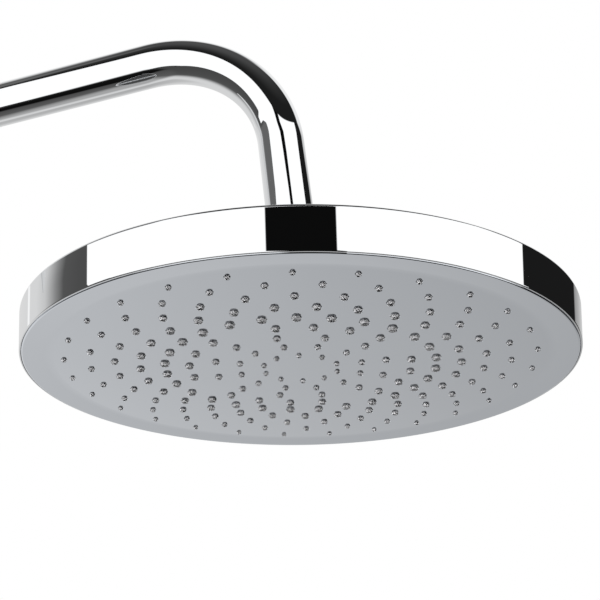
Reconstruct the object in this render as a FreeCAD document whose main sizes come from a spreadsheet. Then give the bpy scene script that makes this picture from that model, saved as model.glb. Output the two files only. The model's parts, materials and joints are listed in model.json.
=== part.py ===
import FreeCAD, Part
import Sketcher
import os
import re

# Overhead rain shower on a bent wall arm. Millimetres, +Z up, the arm runs from the wall along +X.
# The origin is on the arm's axis in the plane of the wall face, where the thread enters the wall.

SIZES = [
    # Arm: the chromed tube from the wall to the ball joint
    ("tube_diameter", 22.0, "outside of the arm tube"),
    ("tube_wall", 1.5, "wall of the arm tube"),
    ("arm_reach", 380.0, "wall face to the axis of the tube's lower leg"),
    ("bend_radius", 63.5, "centreline of the bend"),
    ("leg_length", 44.0, "straight tube below the bend"),
    # Threaded inserts at both ends of the tube
    ("thread_diameter", 20.955, "half inch pipe thread, outside"),
    ("thread_gap", 0.05, "room round a male thread in its female one"),
    ("wall_thread_length", 15.0, "thread that enters the wall fitting"),
    ("nipple_bore", 14.0, "waterway through an insert"),
    ("spigot_length", 14.0, "part of an insert that sits in the tube"),
    ("spigot_gap", 0.05, "room round a spigot in the tube"),
    # Cover plate on the wall
    ("flange_diameter", 64.0, "outside of the cover plate"),
    ("flange_depth", 14.0, "wall face to the front of the cover plate"),
    ("flange_edge", 3.0, "upright edge of the cover plate"),
    ("flange_wall", 2.0, "thickness of the cover plate at its edge"),
    ("flange_front", 29.0, "diameter of the cover plate at its front"),
    ("flange_gap", 0.3, "room round the tube in the cover plate"),
    ("flange_land", 4.4, "length of the cover plate's hole"),
    ("flange_round", 4.5, "rounding of the cover plate's edge"),
    ("flange_front_round", 1.2, "rounding of the cover plate's front"),
    ("flange_ring_section", 2.0, "thickness of the ring in the cover plate"),
    ("flange_ring_gap", 0.1, "room between that ring and the tube"),
    ("ring_side_gap", 0.1, "room beside a ring in its groove"),
    # Union collar between the arm and the ball
    ("collar_lift", 16.5, "ball centre to the underside of the collar"),
    ("collar_height", 18.0, "height of the collar"),
    ("collar_diameter", 27.0, "outside of the collar"),
    ("collar_flats", 24.0, "across the collar's spanner flats"),
    ("flat_count", 2, "spanner flats"),
    ("collar_chamfer", 1.0, "chamfer of the collar's underside"),
    ("neck_grip", 7.0, "length of the ball's neck inside the collar"),
    ("collar_ring_section", 1.5, "thickness of the ring round the ball's neck"),
    ("collar_ring_lift", 1.5, "collar underside to that ring's groove"),
    ("filter_thickness", 0.6, "strainer disc"),
    ("filter_gap", 0.3, "room round the strainer disc"),
    ("filter_hole", 1.2, "hole in the strainer disc"),
    ("filter_pitch", 2.1, "spacing of the strainer's rings of holes"),
    ("filter_count", 6, "holes in its first ring, and as many more in each next ring"),
    ("washer_thickness", 2.0, "sealing washer"),
    ("washer_hole", 13.0, "hole in the sealing washer"),
    # Swivel ball
    ("ball_diameter", 24.0, "swivel ball"),
    ("neck_diameter", 13.0, "neck of the ball"),
    ("ball_bore", 8.0, "waterway through the ball"),
    ("limiter_diameter", 10.0, "recess for the flow limiter in the neck"),
    ("limiter_height", 5.0, "flow limiter"),
    ("limiter_gap", 0.05, "room round the flow limiter"),
    ("orifice_diameter", 1.8, "hole in the flow limiter"),
    ("orifice_circle", 4.6, "diameter of the circle of those holes"),
    ("orifice_count", 4, "holes in the flow limiter"),
    # Bearing shells on the ball
    ("ball_gap", 0.25, "room between ball, bearing shells and nut"),
    ("liner_thickness", 1.5, "upper bearing shell"),
    ("liner_low", 8.0, "latitude of its lower edge, degrees"),
    ("liner_high", 37.0, "latitude of its upper edge, degrees"),
    ("seat_wall", 2.15, "wall of the lower seat at the ball's widest place"),
    ("seat_top", 1.8, "ball centre down to the top of the seat"),
    ("seat_height", 8.7, "height of the seat"),
    ("seat_hole", 16.4, "waterway through the seat"),
    ("seat_gap", 0.25, "room between the seat and the neck of the head"),
    ("seat_ring_section", 1.8, "thickness of the ring under the seat"),
    # Retaining nut and the gasket under it
    ("nut_wall", 3.35, "wall of the nut outside its thread"),
    ("nut_thread_gap", 0.15, "room in the nut's thread"),
    ("nut_depth", 16.0, "ball centre down to the nut's lower face"),
    ("nut_height", 10.5, "ball centre up to the nut's upper face"),
    ("nut_opening", 20.8, "hole for the ball's neck"),
    ("nut_flare", 1.2, "widening of that hole at the top"),
    ("nut_chamfer", 3.0, "outer upper edge of the nut"),
    ("nut_shoulder", 1.2, "ball centre down to the nut's inner shoulder"),
    ("nut_stop", 0.4, "room between that shoulder and the neck of the head"),
    ("flute_diameter", 4.0, "round of a grip flute"),
    ("flute_depth", 0.6, "depth of a grip flute"),
    ("flute_count", 18, "grip flutes"),
    ("gasket_thickness", 1.0, "ring between nut and cover"),
    ("gasket_width", 2.4, "width of that ring"),
    # Cover and its rim
    ("head_nod", 6.02, "turn of the head about the cross axis at rest, degrees"),
    ("head_turn", 29.3, "turn of the nozzle pattern about the head's axis at rest, degrees"),
    ("face_drop", 35.6, "ball centre down to the face"),
    ("head_diameter", 241.0, "outside of the rim at its top"),
    ("rim_taper", 1.2, "how far the rim draws in from its top to its lower edge"),
    ("rim_wall", 1.9, "wall of the rim at its top"),
    ("rim_rise", 17.2, "face up to the top of the rim"),
    ("lip_drop", 0.6, "face down to the lower edge of the rim"),
    ("lip_round", 0.5, "rounding of the rim's lower edge"),
    ("rim_round", 1.0, "rounding of the rim's upper edge"),
    ("cover_wall", 2.0, "top of the cover"),
    ("cover_gap", 0.3, "room round the neck of the head in the cover"),
    # Face plate
    ("plate_gap", 0.12, "seam between rim and face plate"),
    ("plate_thickness", 2.5, "face plate"),
    ("plate_step", 0.45, "edge of the face plate below the rim's lower edge"),
    ("plate_round", 0.8, "rounding of that edge"),
    ("cove_width", 11.5, "soft slope round the face"),
    ("cove_share", 0.3, "share of that slope's drop at its middle"),
    ("ledge_width", 10.1, "raised border on the back of the face plate"),
    ("ledge_height", 3.5, "rise of that border"),
    ("bead_rise", 0.3, "snap bead that stands out of the face plate's edge"),
    ("bead_height", 1.2, "height of the snap bead"),
    ("bead_level", 3.0, "face up to the middle of the snap bead"),
    # Nozzles: rings of nubs, counted from the centre
    ("ring_first", 16.4, "radius of the first ring"),
    ("ring_step", 10.57, "radius from one ring to the next"),
    ("ring_edge", 2.5, "least room from a ring's circle to the chamber wall"),
    ("first_count", 10, "nozzles in the first ring"),
    ("second_count", 12, "nozzles in the second and third rings"),
    ("group_count", 4, "groups in the fourth ring"),
    ("group_size", 4, "nozzles in a group"),
    ("group_pitch", 18.0, "spacing inside a group, degrees"),
    ("outer_count", 27, "nozzles in each outer ring"),
    ("hole_diameter", 4.2, "hole of the largest nozzle, in the fifth ring"),
    ("hole_fall", 0.42, "how much smaller holes are, per ring away from it"),
    ("nub_gap", 0.15, "room round a nub in its hole"),
    ("nub_rise", 1.75, "the largest nub below the face"),
    ("nub_fall", 0.1, "how much shorter nubs are, per ring away from it"),
    ("nub_taper", 0.35, "narrowing of a nub towards its tip"),
    ("nub_shoulder", 0.6, "share of the rise where a nub starts to round off"),
    ("shoulder_taper", 0.08, "narrowing of a nub down to there"),
    ("tip_wall", 0.2, "wall round the outlet at the tip"),
    ("cup_depth", 0.8, "depth of the outlet's cup"),
    ("jet_bore", 1.0, "bore of a nozzle"),
    ("mat_thickness", 1.5, "nozzle mat"),
    ("mat_inset", 0.4, "mat's edge inside the chamber wall"),
    # Water chamber
    ("chamber_height", 4.0, "mat to the chamber plate"),
    ("chamber_wall", 2.5, "upright wall of the chamber plate"),
    ("chamber_roof", 2.0, "thickness of the chamber plate"),
    ("clamp_thickness", 2.5, "screwed border of the chamber plate"),
    ("clamp_inset", 1.2, "that border's edge inside the face plate's edge"),
    ("seal_section", 2.0, "thickness of the chamber's sealing ring"),
    ("seal_gap", 0.1, "room on each side of the sealing ring"),
    ("inlet_bore", 18.0, "waterway into the chamber"),
    ("tower_wall", 2.3, "wall of the head's neck"),
    ("foot_width", 3.5, "shoulder at the neck that carries the cover"),
    ("rib_count", 12, "stiffening ribs"),
    ("rib_height", 3.0, "rise of a rib"),
    ("rib_thickness", 1.6, "thickness of a rib"),
    ("rib_inset", 3.0, "end of a rib to the wall beside it"),
    # Screws of the water chamber
    ("screw_count", 8, "screws"),
    ("screw_diameter", 3.0, "shank"),
    ("screw_length", 8.0, "under the head"),
    ("screw_head", 5.6, "diameter of the head"),
    ("screw_head_height", 1.8, "height of the head"),
    ("screw_gap", 0.1, "room round the shank in its hole"),
    ("screw_slot", 0.8, "width and depth of the slot"),
]

NAMES = {name for name, value, meaning in SIZES}
LARGEST_RING = 4
FILTER_RINGS = 3
SAME_PLACE = 0.001

doc = FreeCAD.newDocument("OverheadShower")
sheet = doc.addObject("Spreadsheet::Sheet", "Sizes")
for line, (name, value, meaning) in enumerate(SIZES, 1):
    sheet.set(f"A{line}", name)
    sheet.set(f"B{line}", str(value))
    sheet.set(f"C{line}", meaning)
    sheet.setAlias(f"B{line}", name)
doc.recompute()

pieces = []


def cells(formula):
    """Writes the sizes named in a formula as references to the sheet."""
    def reference(found):
        word = found.group(0)
        return "Sizes." + word if word in NAMES else word
    return re.sub(r"[a-z_]+", reference, formula)


def bind(thing, prop, formula):
    thing.setExpression(prop, cells(formula))


def number(formula):
    return float(sheet.evalExpression(cells(formula)))


# Radii and heights that several pieces share. Heights of the ball joint and the head count from the ball centre.
TUBE_R = "(tube_diameter / 2)"
TUBE_BORE_R = "(tube_diameter / 2 - tube_wall)"
THREAD_R = "(thread_diameter / 2)"
SOCKET_R = "(thread_diameter / 2 + thread_gap)"
FLANGE_BORE_R = "(tube_diameter / 2 + flange_gap)"
FLANGE_GROOVE_R = "(tube_diameter / 2 + flange_ring_gap + flange_ring_section)"
FLANGE_RING_LEVEL = "(flange_depth - flange_land / 2)"
COLLAR_FLOOR = "(collar_lift + neck_grip)"
COLLAR_TOP = "(collar_lift + collar_height)"
COLLAR_HOLE_R = "(neck_diameter / 2 + thread_gap)"
COLLAR_GROOVE_R = "(neck_diameter / 2 + ring_side_gap + collar_ring_section)"
COLLAR_GROOVE_TOP = "(collar_lift + collar_ring_lift + collar_ring_section + 2 * ring_side_gap)"
BALL_R = "(ball_diameter / 2)"
SHELL_R = "(ball_diameter / 2 + ball_gap)"
LINER_R = "(ball_diameter / 2 + ball_gap + liner_thickness)"
NUT_SEAT_R = "(ball_diameter / 2 + 2 * ball_gap + liner_thickness)"
SEAT_R = "(ball_diameter / 2 + ball_gap + seat_wall)"
SEAT_BOTTOM = "(-(seat_top + seat_height))"
TOWER_BORE_R = "(ball_diameter / 2 + ball_gap + seat_wall + seat_gap)"
TOWER_R = "(ball_diameter / 2 + ball_gap + seat_wall + seat_gap + tower_wall)"
TOWER_TOP = "(-(nut_shoulder + nut_stop))"
TOWER_FLOOR = "(-(seat_top + seat_height + seat_gap + seat_ring_section))"
FOOT_R = f"({TOWER_R} + foot_width)"
NUT_R = f"({TOWER_R} + nut_thread_gap + nut_wall)"
COVER_HOLE_R = f"({TOWER_R} + cover_gap)"
COVER_TOP = "(-(nut_depth + gasket_thickness))"
COVER_UNDER = "(-(nut_depth + gasket_thickness + cover_wall))"
HEAD_R = "(head_diameter / 2)"
RIM_BORE_R = "(head_diameter / 2 - rim_wall)"
LIP = "(-face_drop - lip_drop)"
LIP_R = "(head_diameter / 2 - rim_taper)"
RIM_TOP = "(rim_rise - face_drop)"
PLATE_R = "(head_diameter / 2 - rim_wall - plate_gap)"
PLATE_BACK = "(plate_thickness - face_drop)"
LEDGE_R = f"({PLATE_R} - ledge_width)"
LEDGE_TOP = "(plate_thickness + ledge_height - face_drop)"
BEAD_LOW = "(bead_level - bead_height / 2 - face_drop)"
BEAD_HIGH = "(bead_level + bead_height / 2 - face_drop)"
CHAMBER_R = f"({LEDGE_R} - seal_section - 2 * seal_gap)"
MAT_R = f"({CHAMBER_R} - mat_inset)"
MAT_BACK = "(plate_thickness + mat_thickness - face_drop)"
ROOF_UNDER = "(plate_thickness + mat_thickness + chamber_height - face_drop)"
ROOF_TOP = "(plate_thickness + mat_thickness + chamber_height + chamber_roof - face_drop)"
CLAMP_TOP = "(plate_thickness + ledge_height + clamp_thickness - face_drop)"
SCREW_CIRCLE_R = f"({PLATE_R} - ledge_width / 2)"
SCREW_HOLE_R = "(screw_diameter / 2 + screw_gap)"
SCREW_END = f"({CLAMP_TOP} - screw_length)"

# Places of the three groups of pieces
BALL_CENTRE = "vector(arm_reach; 0; -(bend_radius + leg_length + collar_lift + collar_height))"
AT_WALL = "placement(vector(0; 0; 0); rotation(vector(0; 1; 0); 90))"
AT_ARM_END = f"placement({BALL_CENTRE}; rotation(vector(0; 1; 0); 0))"
AT_HEAD = (f"placement({BALL_CENTRE}; rotation(vector(0; 1; 0); head_nod)"
           " * rotation(vector(0; 0; 1); head_turn))")


def new_body(label, place=None):
    body = doc.addObject("PartDesign::Body", label)
    body.Label = label
    if place:
        bind(body, "Placement", place)
    pieces.append(body)
    return body


def origin_part(body, role):
    return next(part for part in body.Origin.OriginFeatures if part.Role == role)


def new_sketch(body, plane, shift=None):
    """A sketch on one of the body's own planes; shift gives formulas for its offset along x, y and z."""
    sketch = body.newObject("Sketcher::SketchObject", "Sketch")
    sketch.AttachmentSupport = [(origin_part(body, plane), "")]
    sketch.MapMode = "FlatFace"
    for axis, formula in (shift or {}).items():
        bind(sketch, f"AttachmentOffset.Base.{axis}", formula)
    return sketch


def hold_point(sketch, geometry, point, place):
    """Ties a point of a sketch to the formulas of its place."""
    for axis, formula in zip("XY", place):
        row = sketch.addConstraint(
            Sketcher.Constraint("Distance" + axis, -1, 1, geometry, point, number(formula)))
        sketch.renameConstraint(row, f"{axis}{geometry}")
        bind(sketch, f"Constraints.{axis}{geometry}", formula)


def outline(sketch, points):
    """A closed outline of straight lines through points whose places are formulas."""
    count = len(points)
    places = [FreeCAD.Vector(number(x), number(y), 0) for x, y in points]
    for here in range(count):
        sketch.addGeometry(Part.LineSegment(places[here], places[(here + 1) % count]))
    for here in range(count):
        sketch.addConstraint(Sketcher.Constraint("Coincident", here, 2, (here + 1) % count, 1))
        hold_point(sketch, here, 1, points[here])


def circle(sketch, radius, place=("0", "0")):
    centre = FreeCAD.Vector(number(place[0]), number(place[1]), 0)
    drawn = sketch.addGeometry(Part.Circle(centre, FreeCAD.Vector(0, 0, 1), number(radius)))
    hold_point(sketch, drawn, 3, place)
    row = sketch.addConstraint(Sketcher.Constraint("Radius", drawn, number(radius)))
    sketch.renameConstraint(row, f"R{drawn}")
    bind(sketch, f"Constraints.R{drawn}", radius)


def turned(body, points, shift=None, kind="PartDesign::Revolution"):
    """Turns an outline of (radius, height) points round the sketch's upright axis."""
    sketch = new_sketch(body, "XZ_Plane", shift)
    outline(sketch, points)
    feature = body.newObject(kind, "Turned")
    feature.Profile = sketch
    feature.ReferenceAxis = (sketch, ["V_Axis"])
    feature.Angle = 360
    feature.Refine = False
    return feature


def drilled(body, radius, place, top):
    """A hole from a height all the way down."""
    sketch = new_sketch(body, "XY_Plane", {"z": top})
    circle(sketch, radius, place)
    pocket = body.newObject("PartDesign::Pocket", "Drilled")
    pocket.Profile = sketch
    pocket.Type = "ThroughAll"
    pocket.Refine = False
    return pocket


def repeated(body, features, count):
    """Copies features evenly round the body's axis."""
    pattern = body.newObject("PartDesign::PolarPattern", "Repeated")
    pattern.Originals = features
    pattern.Axis = (origin_part(body, "Z_Axis"), [""])
    pattern.Angle = 360
    pattern.Refine = False
    bind(pattern, "Occurrences", count)
    body.Tip = pattern
    return pattern


def rounded(body, feature, rings, radius):
    """Rounds the circular edges at the given (radius, height) places."""
    doc.recompute()
    names = []
    for ring_radius, height in rings:
        for count, edge in enumerate(feature.Shape.Edges, 1):
            curve = edge.Curve
            if not isinstance(curve, Part.Circle):
                continue
            if abs(curve.Radius - number(ring_radius)) > SAME_PLACE:
                continue
            if abs(curve.Center.z - number(height)) < SAME_PLACE:
                names.append(f"Edge{count}")
    fillet = body.newObject("PartDesign::Fillet", "Rounded")
    fillet.Base = (feature, names)
    bind(fillet, "Radius", radius)
    return fillet


def ball_cut(body, radius):
    hollow = body.newObject("PartDesign::SubtractiveSphere", "Hollow")
    bind(hollow, "Radius", radius)
    return hollow


def rubber_ring(label, place, middle_radius, section, level):
    """A round rubber ring about the local upright axis."""
    ring = doc.addObject("Part::Torus", label)
    ring.Label = label
    bind(ring, "Radius1", middle_radius)
    bind(ring, "Radius2", f"{section} / 2")
    bind(ring, "Placement", f"{place} * placement(vector(0; 0; {level}); rotation(vector(0; 0; 1); 0))")
    pieces.append(ring)


# Arm

def make_arm_tube():
    body = new_body("arm_tube")
    path = new_sketch(body, "XZ_Plane")
    bend = number("bend_radius")
    reach = number("arm_reach")
    low = -bend - number("leg_length")
    corner = FreeCAD.Vector(reach - bend, -bend, 0)
    round_bend = Part.Circle(corner, FreeCAD.Vector(0, 0, 1), bend)
    quarter = FreeCAD.Units.Quantity("90 deg").getValueAs("rad").Value
    level = path.addGeometry(Part.LineSegment(FreeCAD.Vector(0, 0, 0), FreeCAD.Vector(reach - bend, 0, 0)))
    arc = path.addGeometry(Part.ArcOfCircle(round_bend, 0, quarter))
    leg = path.addGeometry(Part.LineSegment(FreeCAD.Vector(reach, -bend, 0), FreeCAD.Vector(reach, low, 0)))
    path.addConstraint(Sketcher.Constraint("Coincident", level, 1, -1, 1))
    path.addConstraint(Sketcher.Constraint("Horizontal", level))
    path.addConstraint(Sketcher.Constraint("Tangent", level, 2, arc, 2))
    path.addConstraint(Sketcher.Constraint("Tangent", arc, 1, leg, 1))
    path.addConstraint(Sketcher.Constraint("Vertical", leg))
    for name, formula, constraint in (
        ("bend", "bend_radius", Sketcher.Constraint("Radius", arc, bend)),
        ("reach", "arm_reach", Sketcher.Constraint("DistanceX", -1, 1, leg, 2, reach)),
        ("leg", "leg_length", Sketcher.Constraint("DistanceY", leg, 2, leg, 1, number("leg_length"))),
    ):
        row = path.addConstraint(constraint)
        path.renameConstraint(row, name)
        bind(path, f"Constraints.{name}", formula)
    section = new_sketch(body, "YZ_Plane")
    circle(section, TUBE_R)
    circle(section, TUBE_BORE_R)
    pipe = body.newObject("PartDesign::AdditivePipe", "Bent")
    pipe.Profile = section
    pipe.Spine = path


def make_nipple(label, place, end, length):
    """An insert: a spigot in the tube's end and a male thread that stands out of it."""
    body = new_body(label, place)
    spigot_r = f"({TUBE_BORE_R} - spigot_gap)"
    bore_r = "nipple_bore / 2"
    turned(body, [
        (bore_r, f"{end} - {length}"),
        (THREAD_R, f"{end} - {length}"),
        (THREAD_R, end),
        (spigot_r, end),
        (spigot_r, f"{end} + spigot_length"),
        (bore_r, f"{end} + spigot_length"),
    ])


def make_wall_flange():
    body = new_body("wall_flange", AT_WALL)
    edge_r = "flange_diameter / 2"
    front_r = "flange_front / 2"
    half_groove = "(flange_ring_section / 2 + ring_side_gap)"
    shell = turned(body, [
        (f"{edge_r} - flange_wall", "0"),
        (edge_r, "0"),
        (edge_r, "flange_edge"),
        (front_r, "flange_depth"),
        (FLANGE_BORE_R, "flange_depth"),
        (FLANGE_BORE_R, f"{FLANGE_RING_LEVEL} + {half_groove}"),
        (FLANGE_GROOVE_R, f"{FLANGE_RING_LEVEL} + {half_groove}"),
        (FLANGE_GROOVE_R, f"{FLANGE_RING_LEVEL} - {half_groove}"),
        (FLANGE_BORE_R, f"{FLANGE_RING_LEVEL} - {half_groove}"),
        (FLANGE_BORE_R, "flange_depth - flange_land"),
        (front_r, "flange_depth - flange_land"),
        (f"{edge_r} - flange_wall", "flange_edge / 2"),
    ])
    edge = rounded(body, shell, [(edge_r, "flange_edge")], "flange_round")
    rounded(body, edge, [(front_r, "flange_depth")], "flange_front_round")
    ring_r = "(tube_diameter / 2 + flange_ring_gap + flange_ring_section / 2)"
    rubber_ring("flange_o_ring", AT_WALL, ring_r, "flange_ring_section", FLANGE_RING_LEVEL)


# Ball joint, on the arm's side

def make_ball_collar():
    body = new_body("ball_collar", AT_ARM_END)
    outer_r = "collar_diameter / 2"
    turned(body, [
        (COLLAR_HOLE_R, "collar_lift"),
        (f"{outer_r} - collar_chamfer", "collar_lift"),
        (outer_r, "collar_lift + collar_chamfer"),
        (outer_r, COLLAR_TOP),
        (SOCKET_R, COLLAR_TOP),
        (SOCKET_R, COLLAR_FLOOR),
        (COLLAR_HOLE_R, COLLAR_FLOOR),
        (COLLAR_HOLE_R, COLLAR_GROOVE_TOP),
        (COLLAR_GROOVE_R, COLLAR_GROOVE_TOP),
        (COLLAR_GROOVE_R, "collar_lift + collar_ring_lift"),
        (COLLAR_HOLE_R, "collar_lift + collar_ring_lift"),
    ])
    flat = new_sketch(body, "XY_Plane", {"z": COLLAR_TOP})
    outline(flat, [
        ("collar_flats / 2", "-collar_diameter / 2"),
        ("collar_diameter", "-collar_diameter / 2"),
        ("collar_diameter", "collar_diameter / 2"),
        ("collar_flats / 2", "collar_diameter / 2"),
    ])
    cut = body.newObject("PartDesign::Pocket", "Flat")
    cut.Profile = flat
    cut.Type = "ThroughAll"
    repeated(body, [cut], "flat_count")
    ring_r = "(neck_diameter / 2 + ring_side_gap + collar_ring_section / 2)"
    level = f"({COLLAR_GROOVE_TOP} - ring_side_gap - collar_ring_section / 2)"
    rubber_ring("collar_o_ring", AT_ARM_END, ring_r, "collar_ring_section", level)


def make_swivel_ball():
    body = new_body("swivel_ball", AT_ARM_END)
    ball = body.newObject("PartDesign::AdditiveSphere", "Ball")
    bind(ball, "Radius", BALL_R)
    neck = body.newObject("PartDesign::AdditiveCylinder", "Neck")
    bind(neck, "Radius", "neck_diameter / 2")
    bind(neck, "Height", COLLAR_FLOOR)
    drilled(body, "ball_bore / 2", ("0", "0"), COLLAR_FLOOR)
    recess = body.newObject("PartDesign::SubtractiveCylinder", "Recess")
    bind(recess, "Radius", "limiter_diameter / 2")
    bind(recess, "Height", "limiter_height")
    bind(recess, "Placement.Base.z", f"{COLLAR_FLOOR} - limiter_height")


def make_flow_limiter():
    body = new_body("flow_limiter", AT_ARM_END)
    turned(body, [
        ("0", f"{COLLAR_FLOOR} - limiter_height"),
        ("limiter_diameter / 2 - limiter_gap", f"{COLLAR_FLOOR} - limiter_height"),
        ("limiter_diameter / 2 - limiter_gap", COLLAR_FLOOR),
        ("0", COLLAR_FLOOR),
    ])
    hole = drilled(body, "orifice_diameter / 2", ("orifice_circle / 2", "0"), COLLAR_FLOOR)
    repeated(body, [hole], "orifice_count")


def make_filter_screen():
    body = new_body("filter_screen", AT_ARM_END)
    top = f"({COLLAR_FLOOR} + filter_thickness)"
    turned(body, [
        ("0", COLLAR_FLOOR),
        (f"{SOCKET_R} - filter_gap", COLLAR_FLOOR),
        (f"{SOCKET_R} - filter_gap", top),
        ("0", top),
    ])
    drilled(body, "filter_hole / 2", ("0", "0"), top)
    for ring in range(1, FILTER_RINGS + 1):
        hole = drilled(body, "filter_hole / 2", (f"{ring} * filter_pitch", "0"), top)
        repeated(body, [hole], f"filter_count * {ring}")


def make_inlet_washer():
    body = new_body("inlet_washer", AT_ARM_END)
    low = f"{COLLAR_FLOOR} + filter_thickness"
    turned(body, [
        ("washer_hole / 2", low),
        (f"{SOCKET_R} - filter_gap", low),
        (f"{SOCKET_R} - filter_gap", f"{low} + washer_thickness"),
        ("washer_hole / 2", f"{low} + washer_thickness"),
    ])


# Ball joint, on the head's side

def make_ball_slip_liner():
    zone = doc.addObject("Part::Sphere", "LinerZone")
    bind(zone, "Radius", LINER_R)
    bind(zone, "Angle1", "liner_low")
    bind(zone, "Angle2", "liner_high")
    hollow = doc.addObject("Part::Sphere", "LinerHollow")
    bind(hollow, "Radius", SHELL_R)
    liner = doc.addObject("Part::Cut", "ball_slip_liner")
    liner.Base = zone
    liner.Tool = hollow
    bind(liner, "Placement", AT_HEAD)
    pieces.append(liner)


def make_ball_seat_ring():
    body = new_body("ball_seat_ring", AT_HEAD)
    turned(body, [
        ("seat_hole / 2", SEAT_BOTTOM),
        (SEAT_R, SEAT_BOTTOM),
        (SEAT_R, "-seat_top"),
        ("seat_hole / 2", "-seat_top"),
    ])
    ball_cut(body, SHELL_R)
    ring_r = f"({TOWER_BORE_R} - ring_side_gap - seat_ring_section / 2)"
    level = f"({TOWER_FLOOR} + seat_ring_section / 2)"
    rubber_ring("seat_o_ring", AT_HEAD, ring_r, "seat_ring_section", level)


def make_retaining_nut():
    body = new_body("retaining_nut", AT_HEAD)
    thread_r = f"({TOWER_R} + nut_thread_gap)"
    opening_r = "nut_opening / 2"
    turned(body, [
        (thread_r, "-nut_depth"),
        (NUT_R, "-nut_depth"),
        (NUT_R, "nut_height - nut_chamfer"),
        (f"{NUT_R} - nut_chamfer", "nut_height"),
        (f"{opening_r} + nut_flare", "nut_height"),
        (opening_r, "nut_height - nut_flare"),
        (opening_r, "-nut_shoulder"),
        (thread_r, "-nut_shoulder"),
    ])
    ball_cut(body, NUT_SEAT_R)
    flute = drilled(body, "flute_diameter / 2",
                    (f"{NUT_R} + flute_diameter / 2 - flute_depth", "0"), "nut_height")
    repeated(body, [flute], "flute_count")
    gasket = new_body("cover_gasket", AT_HEAD)
    turned(gasket, [
        (COVER_HOLE_R, COVER_TOP),
        (f"{COVER_HOLE_R} + gasket_width", COVER_TOP),
        (f"{COVER_HOLE_R} + gasket_width", "-nut_depth"),
        (COVER_HOLE_R, "-nut_depth"),
    ])


# Head

def make_top_cover():
    body = new_body("top_cover", AT_HEAD)
    groove_r = f"{RIM_BORE_R} + bead_rise"
    shell = turned(body, [
        (RIM_BORE_R, LIP),
        (LIP_R, LIP),
        (HEAD_R, RIM_TOP),
        (NUT_R, COVER_TOP),
        (COVER_HOLE_R, COVER_TOP),
        (COVER_HOLE_R, COVER_UNDER),
        (FOOT_R, COVER_UNDER),
        (RIM_BORE_R, f"{RIM_TOP} - cover_wall"),
        (RIM_BORE_R, f"{BEAD_HIGH} + plate_gap"),
        (groove_r, f"{BEAD_HIGH} + plate_gap"),
        (groove_r, f"{BEAD_LOW} - plate_gap"),
        (RIM_BORE_R, f"{BEAD_LOW} - plate_gap"),
    ])
    lip = rounded(body, shell, [(LIP_R, LIP)], "lip_round")
    rounded(body, lip, [(HEAD_R, RIM_TOP)], "rim_round")


def make_chamber_plate():
    body = new_body("chamber_plate", AT_HEAD)
    inlet_r = "inlet_bore / 2"
    clamp_r = f"({PLATE_R} - clamp_inset)"
    turned(body, [
        (inlet_r, ROOF_UNDER),
        (f"{CHAMBER_R} - chamber_wall", ROOF_UNDER),
        (f"{CHAMBER_R} - chamber_wall", MAT_BACK),
        (CHAMBER_R, MAT_BACK),
        (CHAMBER_R, LEDGE_TOP),
        (clamp_r, LEDGE_TOP),
        (clamp_r, CLAMP_TOP),
        (CHAMBER_R, CLAMP_TOP),
        (CHAMBER_R, ROOF_TOP),
        (FOOT_R, ROOF_TOP),
        (FOOT_R, COVER_UNDER),
        (TOWER_R, COVER_UNDER),
        (TOWER_R, TOWER_TOP),
        (TOWER_BORE_R, TOWER_TOP),
        (TOWER_BORE_R, TOWER_FLOOR),
        (inlet_r, TOWER_FLOOR),
    ])
    rib = new_sketch(body, "XY_Plane", {"z": ROOF_TOP})
    outline(rib, [
        (f"{FOOT_R} + rib_inset", "-rib_thickness / 2"),
        (f"{CHAMBER_R} - rib_inset", "-rib_thickness / 2"),
        (f"{CHAMBER_R} - rib_inset", "rib_thickness / 2"),
        (f"{FOOT_R} + rib_inset", "rib_thickness / 2"),
    ])
    raised = body.newObject("PartDesign::Pad", "Rib")
    raised.Profile = rib
    raised.Refine = False
    bind(raised, "Length", "rib_height")
    repeated(body, [raised], "rib_count")
    hole = drilled(body, SCREW_HOLE_R, (SCREW_CIRCLE_R, "0"), CLAMP_TOP)
    repeated(body, [hole], "screw_count")
    ring_r = f"({LEDGE_R} - seal_gap - seal_section / 2)"
    rubber_ring("chamber_seal_ring", AT_HEAD, ring_r, "seal_section", f"({PLATE_BACK} + seal_section / 2)")


def make_chamber_screws():
    body = new_body("chamber_screws", AT_HEAD)
    body.AllowCompound = True
    place = {"x": SCREW_CIRCLE_R}
    head_top = f"({CLAMP_TOP} + screw_head_height)"
    screw = turned(body, [
        ("0", SCREW_END),
        ("screw_diameter / 2", SCREW_END),
        ("screw_diameter / 2", CLAMP_TOP),
        ("screw_head / 2", CLAMP_TOP),
        ("screw_head / 2", head_top),
        ("0", head_top),
    ], place)
    slot = new_sketch(body, "XY_Plane", {"z": head_top})
    outline(slot, [
        (f"{SCREW_CIRCLE_R} - screw_head", "-screw_slot / 2"),
        (f"{SCREW_CIRCLE_R} + screw_head", "-screw_slot / 2"),
        (f"{SCREW_CIRCLE_R} + screw_head", "screw_slot / 2"),
        (f"{SCREW_CIRCLE_R} - screw_head", "screw_slot / 2"),
    ])
    cut = body.newObject("PartDesign::Pocket", "Slot")
    cut.Profile = slot
    bind(cut, "Length", "screw_slot")
    repeated(body, [screw, cut], "screw_count")


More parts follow.
